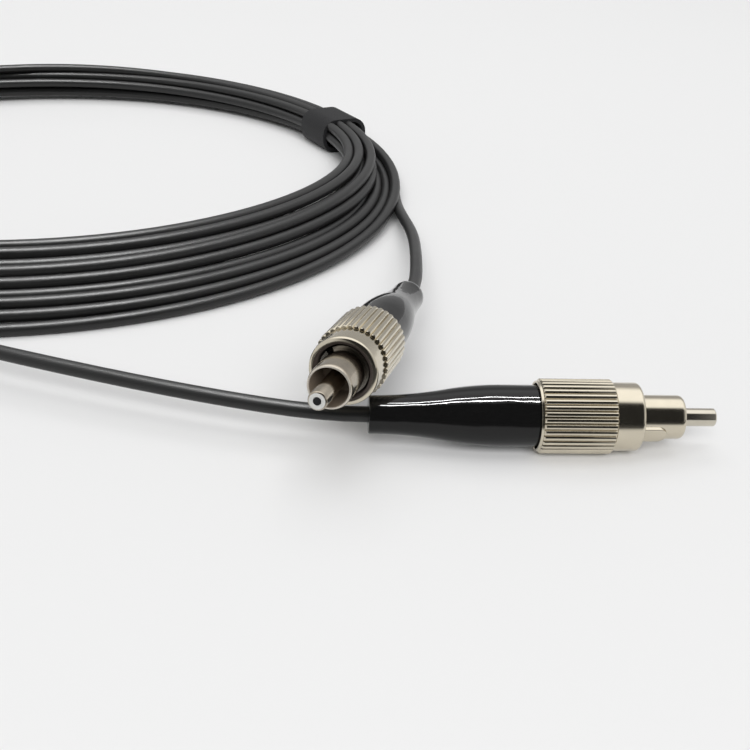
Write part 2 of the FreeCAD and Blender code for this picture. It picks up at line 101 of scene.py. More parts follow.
eye = bpy.data.cameras.new("photo_camera")
eye.sensor_width = 36.0
eye.lens = eye.sensor_width * FOCAL_PX / IMAGE_PX
eye.clip_start = 0.005
camera = bpy.data.objects.new("photo_camera", eye)
looking = Matrix.Rotation(math.radians(CAMERA_YAW), 4, "Z")
looking = looking @ Matrix.Rotation(math.radians(CAMERA_TILT), 4, "X")
looking = looking @ Matrix.Rotation(math.radians(CAMERA_ROLL), 4, "Z")
camera.matrix_world = Matrix.Translation(CAMERA_AT * MM) @ looking
bpy.context.scene.collection.objects.link(camera)
bpy.context.scene.camera = camera
print("lens", round(eye.lens, 2), "mm")

# %% [markdown]
# ## Shader maths that reads like Python
#
# Wiring nodes by hand takes many lines, so three small helpers do it. `Knob` wraps the output of
# a node and lets ordinary arithmetic add Math nodes. `Wiring` is a tree of nodes: its `node` method adds
# any node, with its settings first and then the values or links of its sockets. `Finish` is the wiring of
# one material.

# %% Material helpers
class Knob:
    """The output of a node, which takes part in arithmetic."""

    def __init__(self, wiring, socket):
        self.wiring = wiring
        self.socket = socket

    def maths(self, operation, left, right):
        return self.wiring.node("ShaderNodeMath", {"operation": operation}, {0: left, 1: right})

    def __add__(self, other):
        return self.maths("ADD", self, other)

    def __radd__(self, other):
        return self.maths("ADD", other, self)

    def __sub__(self, other):
        return self.maths("SUBTRACT", self, other)

    def __rsub__(self, other):
        return self.maths("SUBTRACT", other, self)

    def __mul__(self, other):
        return self.maths("MULTIPLY", self, other)

    def __rmul__(self, other):
        return self.maths("MULTIPLY", other, self)


class Wiring:
    """A node tree being wired up."""

    def __init__(self, tree):
        self.tree = tree

    def feed(self, socket, value):
        if isinstance(value, Knob):
            self.tree.links.new(value.socket, socket)
        elif isinstance(value, tuple) and len(value) == 3 and socket.type == "RGBA":
            socket.default_value = (*value, 1.0)
        else:
            socket.default_value = value

    def node(self, kind, settings=None, inputs=None, output=0):
        made = self.tree.nodes.new(kind)
        for name, value in (settings or {}).items():
            if name == "stops":
                ramp = made.color_ramp.elements
                while len(ramp) < len(value):
                    ramp.new(1.0)
                for stop, (place, shade) in zip(ramp, value):
                    stop.position = place
                    stop.color = (shade, shade, shade, 1.0)
            else:
                setattr(made, name, value)
        for key, value in (inputs or {}).items():
            self.feed(made.inputs[key], value)
        return Knob(self, made.outputs[output])

    def noise(self, where, scale, detail=3.0, roughness=0.55):
        inputs = {"Vector": where, "Scale": scale, "Detail": detail, "Roughness": roughness}
        return self.node("ShaderNodeTexNoise", inputs=inputs)

    def ramp(self, value, *stops):
        return self.node("ShaderNodeValToRGB", {"stops": stops}, {0: value})

    def blend(self, share, dark, light):
        settings = {"data_type": "RGBA"}
        return self.node("ShaderNodeMix", settings, {0: share, 6: dark, 7: light}, output=2)


class Finish(Wiring):
    """A material with one surface shader."""

    def __init__(self, name, **fixed):
        self.material = bpy.data.materials.new(name)
        self.material.use_nodes = True
        super().__init__(self.material.node_tree)
        self.surface = self.tree.nodes["Principled BSDF"]
        self.set(**fixed)

    def set(self, **inputs):
        """Sets or links the surface shader's sockets, named with _ for each space."""
        for name, value in inputs.items():
            self.feed(self.surface.inputs[name.replace("_", " ")], value)

    def place(self, scale=(1.0, 1.0, 1.0), about=None):
        """Object coordinates in millimetres, or those of a plug that lies along its own X."""
        spot = self.node("ShaderNodeTexCoord", output="Object")
        inputs = {"Vector": spot}
        if about is not None:
            back = about.inverted()
            inputs["Location"] = back.to_translation()
            inputs["Rotation"] = back.to_euler()
        inputs["Scale"] = (1 / MM, 1 / MM, 1 / MM)
        moved = self.node("ShaderNodeMapping", {"vector_type": "POINT"}, inputs)
        return self.node("ShaderNodeVectorMath", {"operation": "MULTIPLY"}, {0: moved, 1: scale})

    def bump(self, height, strength, depth):
        inputs = {"Height": height, "Strength": strength, "Distance": depth}
        self.set(Normal=self.node("ShaderNodeBump", inputs=inputs))

    def on(self, thing):
        thing.data.materials.clear()
        thing.data.materials.append(self.material)
        return thing


# %% [markdown]
# ## The cable's jacket
#
# The jacket is extruded black plastic with a satin skin. Fine lines run along it from the die, too
# small to see one by one, and its gloss changes a little from place to place, so a long highlight is
# never quite even. Soft noise drives the roughness and a very small bump.

# %% Jacket finish
jacket = Finish("jacket_satin", IOR=1.5, Specular_IOR_Level=0.45)
spot = jacket.place()
patches = jacket.noise(spot, 0.12, 2.0)
grain = jacket.noise(spot, 2.6, 4.0)
jacket.set(Base_Color=jacket.blend(patches, (0.005, 0.005, 0.005), (0.009, 0.009, 0.009)))
jacket.set(Roughness=0.32 + patches * 0.16 + grain * 0.04)
jacket.bump(grain, 0.12, 0.02 * MM)

# %% [markdown]
# ## The cable: one spline from plug to plug
#
# The cord is about five metres long and lies as a loose coil of a little over ten and a half turns. It is a
# single NURBS curve: the first points follow the CAD lead from plug a, a loop then adds thirty points for
# each turn, and the last points follow the lead to plug b.
#
# Each turn has a chosen place where the strap packs the turns together and another where they fan out
# towards the camera, from high on the inside to low on the outside. On the far side the turns keep their
# order and only lie looser. In between, a turn eases from one place to the next. Two turns can't share a
# place, so the turns are then pushed apart in each section, as the real ones push each other, until they
# lie a diameter apart.

# %% Leads
CABLE_DIA = 2.2
COIL_CENTRE = Vector((-86.84, 104.27))
TIE_ANGLE = 26.5
FIRST_RUN = 6.0

LEAD_A = [
    (-42.0, -4.8, 5.4), (-62.0, 2.3, 5.8), (-86.0, 12.6, 6.0), (-107.0, 23.6, 6.6),
]
LEAD_B = [
    (-8.3, 45.0, 6.6), (-7.3, 62.5, 4.4), (-8.2, 78.0, 2.6),
]


def boot_route(side):
    """The boot's rear end and the end of the straight run behind it."""
    return [plug_place[side] @ Vector((0, 0, 0)), plug_place[side] @ Vector((-FIRST_RUN, 0, 0))]


# %% Turns of the coil
POINTS_PER_TURN = 30
COIL_START = 242.0
COIL_END = -11.0 - 3600.0
FAN_ANGLES = (-40.0, -110.0)
FAR_ANGLE = -265.0
FAR_RISE = 1.3
PACKED = [
    (70.9, 5.9), (73.1, 5.9), (75.3, 5.9), (72.0, 4.0), (69.9, 4.0), (74.2, 4.0),
    (70.9, 2.1), (73.1, 2.1), (75.3, 2.1), (76.4, 4.0), (77.4, 2.1),
]
FANNED = [
    (65.2, 9.1), (67.3, 8.3), (70.9, 6.9), (69.0, 7.5), (68.6, 5.1),
    (72.9, 5.6), (74.8, 4.5), (77.0, 3.8), (79.0, 2.6), (81.2, 1.1),
]
JOINS_AT = (77.3, 6.2)
LEAVES_AT = (78.9, 2.2)
WOBBLE = 0.45
PHASE_RANGE = 6.28

wander = random.Random(11)
stations = [((TIE_ANGLE - COIL_START) / 360, JOINS_AT)]
for k, packed in enumerate(PACKED):
    stations.append((k, packed))
    if k < len(FANNED):
        for fan_angle in FAN_ANGLES:
            stations.append((k + (TIE_ANGLE - fan_angle) / 360, FANNED[k]))
        radius, height = PACKED[k + 1]
        stations.append((k + (TIE_ANGLE - FAR_ANGLE) / 360, (radius, height * FAR_RISE)))
stations.append(((TIE_ANGLE - COIL_END) / 360, LEAVES_AT))


def ease(share):
    return share * share * (3 - 2 * share)


def section_place(progress):
    """The chosen radius and height of the cable after so many turns."""
    for (before, low), (after, high) in zip(stations, stations[1:]):
        if progress <= after:
            break
    share = ease(min(max((progress - before) / (after - before), 0), 1))
    return np.array(low) * (1 - share) + np.array(high) * share


step = 360 / POINTS_PER_TURN
count = round((COIL_START - COIL_END) / step) + 1
angles = np.array([COIL_START - step * k for k in range(count)])
section = np.array([section_place((TIE_ANGLE - angle) / 360) for angle in angles])
phase = np.array([wander.uniform(0, PHASE_RANGE) for k in range(count // POINTS_PER_TURN + 2)])
turn_of = np.arange(count) // POINTS_PER_TURN
loose = 0.5 - 0.5 * np.cos(np.radians(angles - TIE_ANGLE))
section[:, 0] += WOBBLE * loose * np.sin(2 * np.radians(angles) + phase[turn_of])
section[:, 1] += 0.5 * WOBBLE * loose * np.sin(3 * np.radians(angles) + 2 * phase[turn_of])

# %% Push the turns apart
SETTLE_ROUNDS = 90
SMOOTHING = 0.25
PULL_TO_CHOSEN = 0.04
SPACING = CABLE_DIA * 1.02
GAP_TO_ITSELF = 99
STRAP_HALF_ANGLE = 9
LIFT_BY_STRAP = 0.9

floor_height = np.full(count, CABLE_DIA / 2)
from_tie = (angles - TIE_ANGLE + 180) % 360 - 180
floor_height[np.abs(from_tie) < STRAP_HALF_ANGLE] += LIFT_BY_STRAP
chosen = section.copy()
for k in range(SETTLE_ROUNDS):
    middle = (section[:-2] + section[2:]) / 2
    section[1:-1] += SMOOTHING * (middle - section[1:-1])
    section += PULL_TO_CHOSEN * (chosen - section)
    for column in range(POINTS_PER_TURN):
        strands = section[column::POINTS_PER_TURN]
        apart = strands[:, None] - strands[None]
        gap = np.hypot(apart[..., 0], apart[..., 1]) + np.eye(len(strands)) * GAP_TO_ITSELF
        push = np.clip(SPACING - gap, 0, None) / gap * 0.5
        section[column::POINTS_PER_TURN] += (push[..., None] * apart).sum(axis=1)
    section[:, 1] = np.maximum(section[:, 1], floor_height)

coil = []
stretch = 1 / math.cos(math.radians(step / 2))
for angle, (radius, height) in zip(np.radians(angles), section):
    reach = radius * stretch
    coil.append((COIL_CENTRE.x + reach * math.cos(angle), COIL_CENTRE.y + reach * math.sin(angle), height))
print("coil of", round((COIL_START - COIL_END) / 360, 2), "turns, top of the cable at",
      round(section[:, 1].max() + CABLE_DIA / 2, 2))

# %% The curve itself
route = boot_route("a") + LEAD_A + coil + LEAD_B[::-1] + boot_route("b")[::-1]
line = bpy.data.curves.new("cable", "CURVE")
line.dimensions = "3D"
line.resolution_u = 4
line.bevel_depth = CABLE_DIA / 2 * MM
line.bevel_resolution = 5
spline = line.splines.new("NURBS")
spline.points.add(len(route) - 1)
for point, spot in zip(spline.points, route):
    point.co = (*(Vector(spot) * MM), 1.0)
spline.order_u = 3
spline.use_endpoint_u = True
cable = bpy.data.objects.new("cable", line)
bpy.context.scene.collection.objects.link(cable)
jacket.on(cable)
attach(cable, "cord")
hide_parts("cable_coil", "cable_lead_a", "cable_lead_b")
boot_route("a")[0] * MM

# %% [markdown]
# ## Turned pieces
#
# Nearly everything on a plug is turned on a lathe, so one helper makes it. A ring of edges is extruded
# from station to station along the plug, and each new ring is set to the radius that the piece has
# there. A radius can be a plain number or a rule that depends on the angle, which is how the same helper
# cuts the knurl's ridges and the thread inside the nut. Small bevels are stations too, because an edge
# without one never catches the light.

# %% Lathe helper
WELD_DISTANCE = 0.0005
SHARP_ANGLE = 32


def as_piece(name, solid, place, body, finish, slot, *nodes):
    """Turns a bmesh drawn in millimetres along its plug into a finished piece in its place."""
    bmesh.ops.remove_doubles(solid, verts=solid.verts, dist=WELD_DISTANCE)
    bmesh.ops.recalc_face_normals(solid, faces=solid.faces)
    bmesh.ops.transform(solid, matrix=Matrix.Scale(MM, 4) @ place, verts=solid.verts)
    data = bpy.data.meshes.new(name)
    for face in solid.faces:
        face.smooth = True
    solid.to_mesh(data)
    solid.free()
    data.set_sharp_from_angle(angle=math.radians(SHARP_ANGLE))
    piece = bpy.data.objects.new(name, data)
    bpy.context.scene.collection.objects.link(piece)
    finish.on(piece)
    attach(piece, body)
    if nodes:
        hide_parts(*nodes)
    return piece


def lathe(stations, segments=96):
    """A closed turned shell through (along, radius) stations, with the last joined to the first."""
    solid = bmesh.new()
    start = bmesh.ops.create_circle(solid, segments=segments, radius=1.0)
    bmesh.ops.rotate(solid, matrix=Matrix.Rotation(math.radians(90), 3, "Y"), verts=solid.verts)
    ring = start["verts"]
    edges = list(solid.edges)

    def settle_ring(verts, along, radius):
        for vert in verts:
            angle = math.atan2(vert.co.z, vert.co.y)
            reach = radius(angle, along) if callable(radius) else radius
            vert.co = (along, reach * math.cos(angle), reach * math.sin(angle))

    settle_ring(ring, *stations[0])
    for along, radius in stations[1:] + stations[:1]:
        grown = bmesh.ops.extrude_edge_only(solid, edges=edges)["geom"]
        edges = [item for item in grown if isinstance(item, bmesh.types.BMEdge)]
        ring = [item for item in grown if isinstance(item, bmesh.types.BMVert)]
        settle_ring(ring, along, radius)
    return solid


# %% [markdown]
# ## Bright nickel
#
# The nuts and barrels are brass with bright nickel plate, which is a little yellow beside chrome. Turning
# leaves very fine rings round each piece, and handling leaves faint cloudy patches, so the roughness
# changes slowly over the surface and a shallow bump follows the rings. Some faces are dull instead: the
# barrel's bore, which the plating hardly reaches, and the ferrule's end, which is lapped with the fibre. The
# thread in the nut is painted near black instead, a painted shade for the depth of the nut's mouth. Each lies
# inside a known radius, so the distance from the plug's axis tells the shader where they are. Plug b's barrel
# and ferrule get darker tones, which are painted shade, and its barrel's rim a pale painted highlight, which
# the place along the plug tells.

# %% Nickel, steel and ferrule finishes
CLOUD_SCALE = 0.35
LINE_STRETCH = (9.0, 0.25, 0.25)
LINE_GLOSS = 0.04
LINE_DEPTH = 0.02
RADIUS_SPAN = 10
DULL_EDGE = 0.003
DULL_ROUGHNESS = 0.35
DULL_METAL_LOSS = 0.75
PLUG_SPAN = 100
RIM_EDGE = 0.08
RIM_METAL_LOSS = 0.6


def plated(name, side, tones, low, spread, lines, dull_or_shade=None, rim=None):
    """Plated metal on one plug: cloudy gloss and fine turning rings, dull or painted with near-black shade
    inside a given radius, and painted with a pale highlight past a given place along the plug."""
    finish = Finish(name)
    place = plug_place[side]
    spot = finish.place(about=place)
    clouds = finish.noise(spot, CLOUD_SCALE, 3.0)
    rings = finish.noise(finish.place(scale=LINE_STRETCH, about=place), 1.0, 2.0)
    tone = finish.blend(clouds, *tones)
    roughness = low + clouds * spread + rings * LINE_GLOSS
    metal = 1.0
    # Inside the given radius the tone is dull, or for the nut's thread a near-black painted shade.
    if dull_or_shade:
        reach, dull_or_shade_tone = dull_or_shade
        off_axis = finish.place(scale=(0.0, 1 / RADIUS_SPAN, 1 / RADIUS_SPAN), about=place)
        radius = finish.node("ShaderNodeVectorMath", {"operation": "LENGTH"}, {0: off_axis}, output="Value")
        edge = reach / RADIUS_SPAN
        inside = finish.ramp(radius, (edge, 1.0), (edge + DULL_EDGE, 0.0))
        tone = finish.blend(inside, tone, dull_or_shade_tone)
        roughness = roughness + inside * DULL_ROUGHNESS
        metal = 1.0 - inside * DULL_METAL_LOSS
    # Past the given place along the plug, a pale painted highlight on the barrel's rim.
    if rim:
        begins, rim_highlight_tone = rim
        along = finish.node("ShaderNodeSeparateXYZ", inputs={0: spot}, output="X") * (1 / PLUG_SPAN)
        at_rim = finish.ramp(along, (begins / PLUG_SPAN, 0.0), ((begins + RIM_EDGE) / PLUG_SPAN, 1.0))
        tone = finish.blend(at_rim, tone, rim_highlight_tone)
        metal = metal * (1.0 - at_rim * RIM_METAL_LOSS)
    finish.set(Base_Color=tone, Roughness=roughness, Metallic=metal)
    finish.bump(rings, lines, LINE_DEPTH * MM)
    return finish


NICKEL = ((0.57, 0.52, 0.42), (0.69, 0.63, 0.51))
# A darker copy of the nickel for plug b's barrel and ferrule: painted shade.
SHADED_NICKEL = ((0.30, 0.26, 0.21), (0.56, 0.50, 0.41))
GROUND = ((0.54, 0.50, 0.42), (0.64, 0.60, 0.51))
WIRE = ((0.36, 0.33, 0.29), (0.48, 0.45, 0.40))
# The nut's thread: a near-black painted shade for the depth of the nut's mouth.
THREAD_PAINTED_SHADE = (4.06, (0.060, 0.048, 0.042))
DULL_BORE = (2.63, (0.27, 0.215, 0.165))
LAPPED_END = (1.04, (0.60, 0.60, 0.58))
BARREL_TONES = {"a": NICKEL, "b": SHADED_NICKEL}
# Plug b's barrel rim gets a pale painted highlight.
BARREL_RIM_HIGHLIGHTS = {"a": None, "b": (42.58, (0.72, 0.68, 0.61))}
FERRULE_TONES = {"a": GROUND, "b": SHADED_NICKEL}

nickel = {}
turned = {}
ground = {}
wire = {}
for side in "ab":
    nickel[side] = plated(f"nickel_{side}", side, NICKEL, 0.09, 0.10, 0.10, THREAD_PAINTED_SHADE)
    turned[side] = plated(
        f"barrel_{side}", side, BARREL_TONES[side], 0.10, 0.10, 0.16, DULL_BORE, BARREL_RIM_HIGHLIGHTS[side])
    ground[side] = plated(f"ferrule_{side}", side, FERRULE_TONES[side], 0.10, 0.08, 0.16, LAPPED_END)
    wire[side] = plated(f"wire_{side}", side, WIRE, 0.16, 0.12, 0.08)

# %% [markdown]
# ## The coupling nut
#
# The nut is the piece that the fingers turn: thirty-six straight ridges, a short plain collar behind them
# and a smooth neck in front with a rounded rim. Inside the mouth runs a fine screw thread. The ridges
# and the thread are both rules for the radius: the first repeats round the nut, and the second also
# moves along it as the angle grows, which makes a true helix.

# %% Coupling nuts
KNURL_R = 5.1
KNURL_DEPTH = 0.36
GROOVE_SHARE = 1 / 3
RIDGE_CROWN = 0.10
RIDGES = 36
NECK_R = 4.68
NECK_UNDERCUT = 0.08
NECK_RIM_R = 0.56
NECK_RIM_STEPS = 6
KNURL_CHAMFER = 0.09
COLLAR_R = 4.8
NUT_REAR = 22.7
COLLAR_END = 23.05
KNURL_END = 32.9
THREAD_R = 3.62
MOUTH_R = 4.05
THREAD_PITCH = 0.75
THREAD_REAR = 31.85
THREAD_FRONT = NUT_FRONT - 0.14
STEPS_PER_PITCH = 8
LIP = (29.45, 30.65)
LIP_R = 3.08
NUT_BORE_R = 4.45


def ridge(angle, along):
    """The knurl's radius: narrow V grooves between ridges with a low crown."""
    share = (angle / (2 * math.pi) * RIDGES) % 1.0
    from_groove = 2 * min(share, 1 - share)
    if from_groove < GROOVE_SHARE:
        return KNURL_R - RIDGE_CROWN - (KNURL_DEPTH - RIDGE_CROWN) * (1 - from_groove / GROOVE_SHARE)
    return KNURL_R - RIDGE_CROWN * ((1 - from_groove) / (1 - GROOVE_SHARE)) ** 2


def thread(angle, along):
    """The thread's radius: a triangle that moves along the nut with the angle."""
    share = (along / THREAD_PITCH + angle / (2 * math.pi)) % 1.0
    return THREAD_R + (MOUTH_R - THREAD_R) * abs(2 * share - 1)


def coupling_nut(side):
    under = NECK_R - NECK_UNDERCUT
    stations = [
        (LIP[0], LIP_R), (LIP[0], NUT_BORE_R), (NUT_REAR + 0.12, NUT_BORE_R), (NUT_REAR, NUT_BORE_R + 0.10),
        (NUT_REAR, COLLAR_R - 0.12), (NUT_REAR + 0.04, COLLAR_R - 0.04), (NUT_REAR + 0.12, COLLAR_R),
        (COLLAR_END, COLLAR_R), (COLLAR_END + 0.05, lambda a, u: min(ridge(a, u), COLLAR_R + 0.12)),
        (COLLAR_END + 0.22, ridge), (KNURL_END - KNURL_CHAMFER, ridge),
        (KNURL_END, lambda a, u: max(ridge(a, u) - KNURL_CHAMFER, NECK_R + 0.03)),
        (KNURL_END, under), (KNURL_END + 0.10, under), (KNURL_END + 0.16, NECK_R),
    ]
    rim = NECK_RIM_R
    for k in range(NECK_RIM_STEPS + 1):
        swing = math.radians(90 / NECK_RIM_STEPS * k)
        stations.append((NUT_FRONT - rim + rim * math.sin(swing), NECK_R - rim + rim * math.cos(swing)))
    stations += [(NUT_FRONT, MOUTH_R + 0.04), (NUT_FRONT - 0.05, MOUTH_R)]
    steps = STEPS_PER_PITCH * round((THREAD_FRONT - THREAD_REAR) / THREAD_PITCH)
    for k in range(steps + 1):
        stations.append((THREAD_FRONT - THREAD_PITCH * k / STEPS_PER_PITCH, thread))
    stations += [(THREAD_REAR - 0.2, MOUTH_R), (LIP[1], MOUTH_R), (LIP[1], LIP_R)]
    solid = lathe(stations, segments=RIDGES * 12)
    name = f"nut_{side}"
    return as_piece(name, solid, plug_place[side], name, nickel[side], "nickel", f"coupling_nut_{side}")


for side in "ab":
    print("nut", side, len(coupling_nut(side).data.polygons), "faces")

# %% [markdown]
# ## Barrel and key
#
# The barrel carries the ferrule and goes into the receptacle. Its rim is thin and rounded, and a low key
# with a round nose stands on one side of it, so that the plug fits only one way round. A groove near the
# nut holds the open ring. The key starts as a circle whose rear half is moved back to make a slot shape;
# the shape is then extruded and its top edge bevelled.

# %% Barrels
BARREL_R = 3.0
BARREL_BORE_R = 2.6
BARREL_FRONT = 42.85
FRAME_REAR = 29.37
CHAMBER_R = 2.5
GUIDE = (34.25, 36.6)
GUIDE_R = 1.54
RING_GROOVE = (35.62, 36.18)
RING_GROOVE_R = 2.85
KEY_HALF = 1.3
KEY_TOP = 3.27
KEY_REAR = 36.28
KEY_NOSE = 40.35
KEY_SINK = 0.1
KEY_BEVEL = 0.08


def barrel(side):
    front = BARREL_FRONT
    solid = lathe([
        (FRAME_REAR, CHAMBER_R), (FRAME_REAR, BARREL_R), (RING_GROOVE[0], BARREL_R),
        (RING_GROOVE[0], RING_GROOVE_R), (RING_GROOVE[1], RING_GROOVE_R), (RING_GROOVE[1], BARREL_R),
        (front - 0.62, BARREL_R), (front - 0.42, BARREL_R - 0.02), (front - 0.24, BARREL_R - 0.07),
        (front - 0.10, BARREL_R - 0.14), (front - 0.03, BARREL_R - 0.20), (front, BARREL_R - 0.27),
        (front, BARREL_BORE_R + 0.06),
        (front - 0.03, BARREL_BORE_R + 0.03), (front - 0.10, BARREL_BORE_R),
        (GUIDE[1], BARREL_BORE_R), (GUIDE[1], GUIDE_R), (GUIDE[0], GUIDE_R), (GUIDE[0], CHAMBER_R),
    ], segments=128)
    return as_piece(
        f"barrel_{side}", solid, plug_place[side], "cord", turned[side], "nickel", f"plug_frame_{side}")


def key(side):
    solid = bmesh.new()
    bmesh.ops.create_circle(solid, cap_ends=True, segments=32, radius=KEY_HALF)
    rear = [vert for vert in solid.verts if vert.co.x < -1e-5]
    bmesh.ops.translate(solid, verts=solid.verts, vec=(KEY_NOSE - KEY_HALF, 0, BARREL_BORE_R + KEY_SINK))
    for vert in rear:
        vert.co.x = KEY_REAR
    raised = bmesh.ops.extrude_face_region(solid, geom=list(solid.faces))["geom"]
    top = [item for item in raised if isinstance(item, bmesh.types.BMVert)]
    bmesh.ops.translate(solid, verts=top, vec=(0, 0, KEY_TOP - BARREL_BORE_R - KEY_SINK))
    rim = [item for item in raised if isinstance(item, bmesh.types.BMEdge)]
    bmesh.ops.bevel(
        solid, geom=rim, offset=KEY_BEVEL, segments=3, profile=0.5, affect="EDGES", material=-1)
    return as_piece(f"key_{side}", solid, plug_place[side], "cord", turned[side], "nickel")


for side in "ab":
    print("barrel", side, len(barrel(side).data.polygons), "faces; key", len(key(side).data.polygons))

# %% [markdown]
# ## The open ring
#
# A snap ring sits in the barrel's groove, just inside the nut's mouth, and stops the nut from sliding off.
# It is a small rectangle spun most of the way round the barrel, which leaves the gap that lets it spring
# open. It turns with the nut.

# %% Rings
RING = (35.65, 36.15)
RING_R = (2.88, 3.4)
RING_GAP = 18.0
RING_TURN = 250.0
INNER_EDGE = 0.04
OUTER_EDGE = 0.06


def open_ring(side):
    solid = bmesh.new()
    corners = [
        (RING[0] + INNER_EDGE, RING_R[0]), (RING[0], RING_R[0] + INNER_EDGE),
        (RING[0], RING_R[1] - OUTER_EDGE), (RING[0] + OUTER_EDGE, RING_R[1]),
        (RING[1] - OUTER_EDGE, RING_R[1]), (RING[1], RING_R[1] - OUTER_EDGE),
        (RING[1], RING_R[0] + INNER_EDGE), (RING[1] - INNER_EDGE, RING_R[0]),
    ]
    section = solid.faces.new([solid.verts.new((along, 0, reach)) for along, reach in corners])
    begin = Matrix.Rotation(math.radians(RING_TURN + RING_GAP / 2), 3, "X")
    bmesh.ops.rotate(solid, matrix=begin, verts=solid.verts)
    bmesh.ops.spin(
        solid, geom=[section] + list(section.edges) + list(section.verts), cent=(0, 0, 0), axis=(1, 0, 0),
        angle=math.radians(360 - RING_GAP), steps=90, use_duplicate=False)
    return as_piece(
        f"ring_{side}", solid, plug_place[side], f"ring_{side}", wire[side], "spring_steel",
        f"retaining_ring_{side}")


for side in "ab":
    print("ring", side, len(open_ring(side).data.polygons), "faces")

# %% [markdown]
# ## Ferrule and fibre
#
# The ferrule is a ground metal tube, polished at its tip together with the fibre in it. The tip has a fine
# bevel and a shallow step round the fibre, which shows as a ring. The clear fibre looks dark, because
# the light that goes into it doesn't come back.

# %% Ferrules
FERRULE_R = 1.25
SHANK_R = 1.5
FLANGE = (32.63, 34.23)
FLANGE_R = 2.3
FLANGE_EDGE = 0.06
SHANK_FRONT = 36.9
SHANK_EDGE = 0.08
TIP = 47.65
FIBRE_HOLE_R = 0.53


def ferrule(side):
    rounded = FLANGE_R - FLANGE_EDGE
    solid = lathe([
        (FLANGE[0], FIBRE_HOLE_R), (FLANGE[0], rounded), (FLANGE[0] + FLANGE_EDGE, FLANGE_R),
        (FLANGE[1] - FLANGE_EDGE, FLANGE_R), (FLANGE[1], rounded), (FLANGE[1], SHANK_R),
        (SHANK_FRONT - SHANK_EDGE, SHANK_R), (SHANK_FRONT, SHANK_R - SHANK_EDGE), (SHANK_FRONT, FERRULE_R),
        (TIP - 0.24, FERRULE_R), (TIP - 0.18, FERRULE_R - 0.02), (TIP - 0.02, FERRULE_R - 0.17),
        (TIP, FERRULE_R - 0.22), (TIP, FIBRE_HOLE_R + 0.24), (TIP - 0.03, FIBRE_HOLE_R + 0.21),
        (TIP - 0.03, FIBRE_HOLE_R + 0.03), (TIP - 0.06, FIBRE_HOLE_R),
    ], segments=96)
    name = f"ferrule_{side}"
    return as_piece(
        f"ferrule_tube_{side}", solid, plug_place[side], name, ground[side], "ferrule_metal", name)


for side in "ab":
    print("ferrule", side, len(ferrule(side).data.polygons), "faces")

# %% [markdown]
# ## The springs
#
# A small spring behind the ferrule pushes it forward and gives way when two plugs meet. A circle of wire is
# spun five times round the plug's axis and moved a little along it at each step, which makes a helix in one
# call.

# %% Springs
SPRING = (26.22, 32.61)
SPRING_COIL_R = 1.65
SPRING_WIRE_R = 0.175
SPRING_TURNS = 5
SPRING_STEPS = 120


def spring(side):
    solid = bmesh.new()
    bmesh.ops.create_circle(solid, cap_ends=True, segments=12, radius=SPRING_WIRE_R)
    bmesh.ops.rotate(solid, matrix=Matrix.Rotation(math.radians(90), 3, "X"), verts=solid.verts)
    bmesh.ops.translate(solid, verts=solid.verts, vec=(SPRING[0] + SPRING_WIRE_R, 0, SPRING_COIL_R))
    rise = SPRING[1] - SPRING[0] - 2 * SPRING_WIRE_R
    bmesh.ops.spin(
        solid, geom=list(solid.faces) + list(solid.edges) + list(solid.verts), cent=(0, 0, 0), axis=(1, 0, 0),
        dvec=(rise / SPRING_STEPS, 0, 0), angle=math.radians(360 * SPRING_TURNS), steps=SPRING_STEPS,
        use_duplicate=False)
    place = plug_place[side]
    made = as_piece(
        f"spring_{side}", solid, place, "cord", wire[side], "spring_steel", f"ferrule_spring_{side}")
    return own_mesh(made)


for side in "ab":
    print("spring", side, len(spring(side).data.polygons), "faces")

# %% [markdown]
# ## The boots
#
# The boot is soft black plastic with a high gloss. It swells in one long S from its square rear end to the
# straight part under the nut. Moulded plastic is never quite flat: a slow unevenness in its surface
# breaks up the thin window lines, so the bump comes from noise that is stretched along the boot.

# %% Boot finish
def glossy(name, side):
    finish = Finish(name, IOR=1.5, Specular_IOR_Level=0.28)
    spot = finish.place(about=plug_place[side])
    waves = finish.noise(finish.place(scale=(0.16, 0.5, 0.5), about=plug_place[side]), 1.0, 2.0)
    ripples = finish.noise(finish.place(scale=(1.3, 0.4, 0.4), about=plug_place[side]), 1.0, 2.0)
    dust = finish.noise(spot, 1.8, 5.0, 0.7)
    finish.set(Base_Color=finish.blend(dust, (0.003, 0.003, 0.003), (0.007, 0.007, 0.007)))
    finish.set(Roughness=0.04 + finish.ramp(dust, (0.45, 0.0), (0.8, 1.0)) * 0.08)
    finish.bump(waves + ripples * 0.10 + dust * 0.01, 0.25, 0.25 * MM)
    return finish


boot_finish = {side: glossy(f"boot_gloss_{side}", side) for side in "ab"}

# %% Boots
BOOT_REAR_R = 2.6
BOOT_WAIST = (10.2, 3.475)
BOOT_SWELL = (18.0, 4.2)
BOOT_FRONT = 28.13
BOOT_STEM = (24.88, 3.03)
BOOT_CRIMP = (16.6, 2.23)
BOOT_HOLE_R = 1.13
BOOT_LIP = 0.2
BOOT_EDGE = 0.2
BOOT_STEP = 0.75
BOOT_STEPS = 24
WAIST_SLOPE = 2 * (BOOT_SWELL[1] - BOOT_WAIST[1]) / (BOOT_SWELL[0] - BOOT_WAIST[0])


def s_curve(along):
    """The boot's outside radius: hollow behind the waist, full ahead of it, straight past the swell."""
    if along >= BOOT_SWELL[0]:
        return BOOT_SWELL[1]
    if along < BOOT_WAIST[0]:
        start, end, slopes = (0.0, BOOT_REAR_R), BOOT_WAIST, (0.0, WAIST_SLOPE)
    else:
        start, end, slopes = BOOT_WAIST, BOOT_SWELL, (WAIST_SLOPE, 0.0)
    run = end[0] - start[0]
    t = (along - start[0]) / run
    low = ease(1 - t) * start[1] + ease(t) * end[1]
    return low + run * (slopes[0] * t * (1 - t) ** 2 - slopes[1] * t ** 2 * (1 - t))


